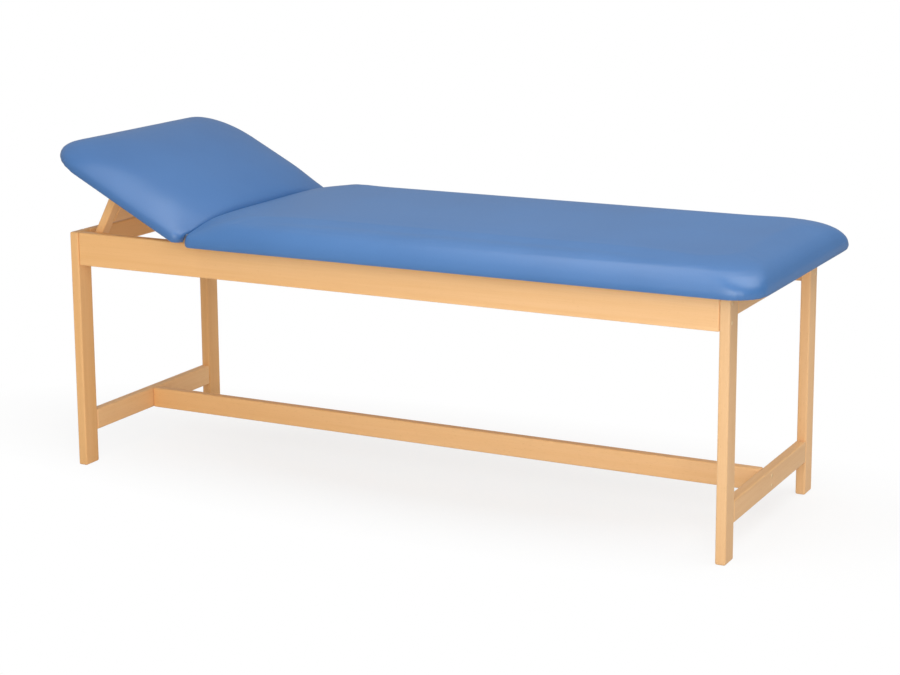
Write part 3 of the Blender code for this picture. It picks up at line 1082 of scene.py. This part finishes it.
@dataclass
class Screws:
    """Countersunk screws in the hinge leaves."""

    head: Place
    support: Place
    sides: int = 24
    radius: float = 0.0030
    thick: float = 0.0012
    proud: float = 0.0003
    slot_length: float = 0.0036
    slot_width: float = 0.0007
    leaf_face: float = 0.0012
    long_count: int = 7
    long_step: float = 0.108
    long_drop: float = 0.0130
    long_spin: float = 0.9
    butt_spread: float = 0.170
    butt_spin: float = 0.7
    butt_spots: tuple[tuple[float, float], ...] = ((-0.023, 0.011), (0.0, 0.021), (0.023, 0.011))

    def build(self, steel: bpy.types.Material) -> None:
        """Set the screws of every leaf.

        Args:
            steel: The screws' finish.
        """
        fixed = Place(self.head.origin, 0.0)
        rows = {
            "frame": self._long_spots(fixed, -1.0),
            "head_section": self._long_spots(self.head, 1.0) + self._butt_spots(True),
            "support": self._butt_spots(False),
        }
        for body, spots in rows.items():
            screws = spread_copies(self._screw(), spots, f"hinge_screws_{body}")
            bpy.ops.object.shade_smooth_by_angle(angle=SHARP_ANGLE)
            dress(screws, steel)
            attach(screws, body)
            LOG.info("%s: %d screws", screws.name, len(spots))

    def _screw(self) -> bpy.types.Object:
        """Model a screw head along Z with a soft rim and a cross recess.

        Returns:
            The screw head, at the origin.
        """
        clear_selection()
        bpy.ops.mesh.primitive_cylinder_add(
            vertices=self.sides, radius=self.radius, depth=self.thick
        )
        screw = bpy.context.object
        bpy.ops.object.mode_set(mode="EDIT")
        select_faces(screw, lambda face: face.normal.z > FACES_UP)
        bpy.ops.mesh.bevel(offset=self.proud, segments=2)
        bpy.ops.object.mode_set(mode="OBJECT")
        top = (0.0, 0.0, self.thick / 2)
        for turn in (0.0, math.pi / 2):
            clear_selection()
            bpy.ops.mesh.primitive_cube_add(size=1.0, location=top, rotation=(0.0, 0.0, turn))
            slot = bpy.context.object
            slot.scale = (self.slot_length, self.slot_width, self.thick)
            bpy.ops.object.transform_apply(location=True, rotation=True, scale=True)
            apply_modifier(screw, "BOOLEAN", operation="DIFFERENCE", solver="EXACT", object=slot)
            bpy.data.objects.remove(slot, do_unlink=True)
        return screw

    def _sunk(self, level: float) -> float:
        """Where a screw's middle lies for its head to stand just proud of a face."""
        return level + self.proud - self.thick / 2

    def _long_spots(self, place: Place, facing: float) -> list[Matrix]:
        """Screws along one leaf of the long hinge.

        Args:
            place: Axes of the leaf's part.
            facing: Side of its own X that the leaf's bare face looks to.

        Returns:
            Place and turn of each screw.
        """
        spots = []
        bare = facing * self._sunk(-self.leaf_face)
        turn = Matrix.Rotation(facing * math.pi / 2, 4, "Y")
        for index in range(self.long_count):
            across = (index - (self.long_count - 1) / 2) * self.long_step
            spot = Matrix.Translation((bare, across, -self.long_drop))
            spin = Matrix.Rotation(index * self.long_spin, 4, "Z")
            spots.append(place.matrix() @ spot @ turn @ spin)
        return spots

    def _butt_spots(self, upper: bool) -> list[Matrix]:
        """Screws in the support's hinges.

        Args:
            upper: True for the leaves under the head board, False for those on the support.

        Returns:
            Place and turn of each screw.
        """
        spots = []
        sunk = self._sunk(-self.leaf_face)
        turn = Matrix.Rotation(math.pi, 4, "X") if upper else Matrix.Rotation(math.pi / 2, 4, "Y")
        for hand in (-1.0, 1.0):
            for index, (across, reach) in enumerate(self.butt_spots):
                middle = hand * self.butt_spread + across
                spin = Matrix.Rotation(index * self.butt_spin + hand, 4, "Z")
                where = (reach, middle, -sunk) if upper else (sunk, middle, -reach)
                spots.append(self.support.matrix() @ Matrix.Translation(where) @ turn @ spin)
        return spots


@dataclass(frozen=True)
class Lamp:
    """One soft lamp with a rectangular face.

    Attributes:
        name: Name of the lamp.
        place: Where it hangs.
        aim: The point that it faces.
        size: Width and height of its face.
        power: Its power in watts.
    """

    name: str
    place: tuple[float, float, float]
    aim: tuple[float, float, float]
    size: tuple[float, float]
    power: float

    def build(self) -> None:
        """Hang the lamp."""
        data = bpy.data.lights.new(self.name, "AREA")
        data.shape = "RECTANGLE"
        data.size, data.size_y = self.size
        data.energy = self.power
        lamp = bpy.data.objects.new(self.name, data)
        lamp.location = self.place
        look = Vector(self.aim) - Vector(self.place)
        lamp.rotation_euler = look.to_track_quat("-Z", "Y").to_euler()
        lamp.visible_camera = False
        bpy.context.scene.collection.objects.link(lamp)


@dataclass
class Studio:
    """Pale floor, soft light and the camera."""

    eye: tuple[float, float, float] = (2.33489, -4.49996, 1.56845)
    yaw: float = 0.47577
    pitch: float = 0.19002
    roll: float = -0.00594
    focal: float = 2062.096
    centre_row: float = 250.0
    sensor: float = 36.0
    clip: tuple[float, float] = (0.05, 200.0)
    sky: float = 0.47
    sky_lean: float = 0.10
    sky_sheen: float = 0.27
    sheen_lean: float = 0.25
    floor_size: float = 120.0
    floor_level: float = -0.0005
    floor_white: float = 0.92
    floor_bounce: float = 0.80
    floor_glow: float = 0.75
    floor_sheen: float = 0.38
    shadow_scale: tuple[float, float, float] = (0.85, 2.5, 1.0)
    shadow_shift: tuple[float, float, float] = (-0.08, -0.20, 0.0)
    shadow_fade: tuple[float, float] = (0.60, 1.50)
    lamps: tuple[Lamp, ...] = (
        Lamp("key_light", (1.7, -3.45, 1.50), (0.25, 0.0, 0.50), (2.6, 2.2), 62.0),
        Lamp("fill_light", (1.8, 0.4, 3.2), (0.9, 0.0, 0.60), (2.5, 2.5), 44.0),
        Lamp("band_light", (-0.45, -3.3, 1.9), (0.55, -0.38, 0.64), (0.9, 2.4), 7.0),
        Lamp("top_light", (-0.25, -1.10, 2.90), (-0.25, -1.10, 0.0), (0.95, 3.8), 24.0),
    )

    def build(self) -> None:
        """Set the stage."""
        self._camera()
        self._world()
        self._floor()
        for lamp in self.lamps:
            lamp.build()
        bpy.context.scene.view_settings.view_transform = "Standard"

    def _camera(self) -> None:
        """Place the camera at the photograph's angle."""
        ahead = Vector((
            -math.sin(self.yaw) * math.cos(self.pitch),
            math.cos(self.yaw) * math.cos(self.pitch),
            -math.sin(self.pitch),
        ))
        right = Vector((math.cos(self.yaw), math.sin(self.yaw), 0.0))
        up = right.cross(ahead)
        level = math.cos(self.roll) * right + math.sin(self.roll) * up
        upright = math.cos(self.roll) * up - math.sin(self.roll) * right
        data = bpy.data.cameras.new("camera")
        data.sensor_width = self.sensor
        data.lens = self.focal / IMAGE_WIDTH * self.sensor
        data.shift_y = (self.centre_row - IMAGE_HEIGHT / 2) / IMAGE_WIDTH
        data.clip_start, data.clip_end = self.clip
        camera = bpy.data.objects.new("camera", data)
        turn = Matrix((level, upright, -ahead)).transposed().to_4x4()
        camera.matrix_world = Matrix.Translation(Vector(self.eye)) @ turn
        bpy.context.scene.collection.objects.link(camera)
        bpy.context.scene.camera = camera

    def _world(self) -> None:
        """Make surroundings that look white but light the couch and are mirrored more dimly."""
        world = bpy.data.worlds.new("studio")
        bpy.context.scene.world = world
        world.use_nodes = True
        graph = Graph(world.node_tree)
        where = graph.node("ShaderNodeTexCoord", {}, {}, "Generated")
        side = graph.node("ShaderNodeSeparateXYZ", {}, {0: where}, "X")
        light = side * self.sky_lean + self.sky
        sheen = self.sky_sheen - side * self.sheen_lean
        seen, mirrored = graph.masks()
        strength = light * (1.0 - seen - mirrored) + seen + mirrored * sheen
        sky = graph.node("ShaderNodeBackground", {}, {"Color": WHITE, "Strength": strength})
        graph.finish(sky, "ShaderNodeOutputWorld")

    def _floor(self) -> None:
        """Lay a white floor that keeps the couch's shadow and is mirrored dimly."""
        clear_selection()
        bpy.ops.mesh.primitive_plane_add(
            size=self.floor_size, location=(0.0, 0.0, self.floor_level)
        )
        floor = settle(bpy.context.object, "floor")
        material, graph = new_graph("floor_white")
        where = graph.place(self.shadow_scale, self.shadow_shift)
        reach = graph.node("ShaderNodeVectorMath", {"operation": "LENGTH"}, {0: where}, "Value")
        far = graph.spread(reach, *self.shadow_fade, self.floor_glow, 1.0)
        seen, mirrored = graph.masks()
        dim, pale = [
            graph.node("ShaderNodeBsdfDiffuse", {}, {"Color": (shade, shade, shade, 1.0)})
            for shade in (self.floor_bounce, self.floor_white)
        ]
        matte = graph.node("ShaderNodeMixShader", {}, {0: seen, 1: dim, 2: pale})
        strength = seen + mirrored * self.floor_sheen
        glow = graph.node("ShaderNodeEmission", {}, {"Color": WHITE, "Strength": strength})
        share = far * seen + mirrored
        graph.finish(graph.node("ShaderNodeMixShader", {}, {0: share, 1: matte, 2: glow}))
        dress(floor, material)


def main() -> None:
    """Dress the couch piece by piece."""
    logging.basicConfig(level=logging.INFO, format="%(message)s")
    Studio().build()
    Timber().dress_nodes()
    plywood = PlywoodFinish("plywood_sanded").material()
    steel = SteelFinish("hinge_steel_plated").material()
    for name, node in frame["nodes"].items():
        if name in ("main_board", "head_board"):
            dress(node, plywood)
        elif "hinge" in name:
            dress(node, steel)
    Plugs().build(PlugFinish("beech_end_grain").material())
    LOG.info("plugs set")
    head = joint_place("head_tilt", PROP_ANGLE)
    Screws(head, joint_place("support_fold", PROP_ANGLE)).build(steel)
    cover = LeatheretteFinish("leatherette_blue").material()
    # Painted shade: the head pad gets a darker copy of the blue leatherette, standing in for the
    # lower light on it.
    painted_shade_cover = LeatheretteFinish(
        "leatherette_blue_head_painted_shade", base=(0.059, 0.173, 0.414), deep=(0.053, 0.159, 0.388)
    ).material()
    flat = Place(head.origin, 0.0)
    Cushion(
        "main_cushion", "frame", flat.lowered(HINGE_HEIGHT), corner=0.079, voxel=0.008, seed=1.0
    ).build(cover, steel)
    Cushion(
        "head_cushion",
        "head_section",
        head.lowered(HINGE_HEIGHT),
        corner=0.104,
        voxel=0.007,
        seed=7.0,
        fullness=0.006,
    ).build(painted_shade_cover, steel)


if __name__ == "__main__":
    main()
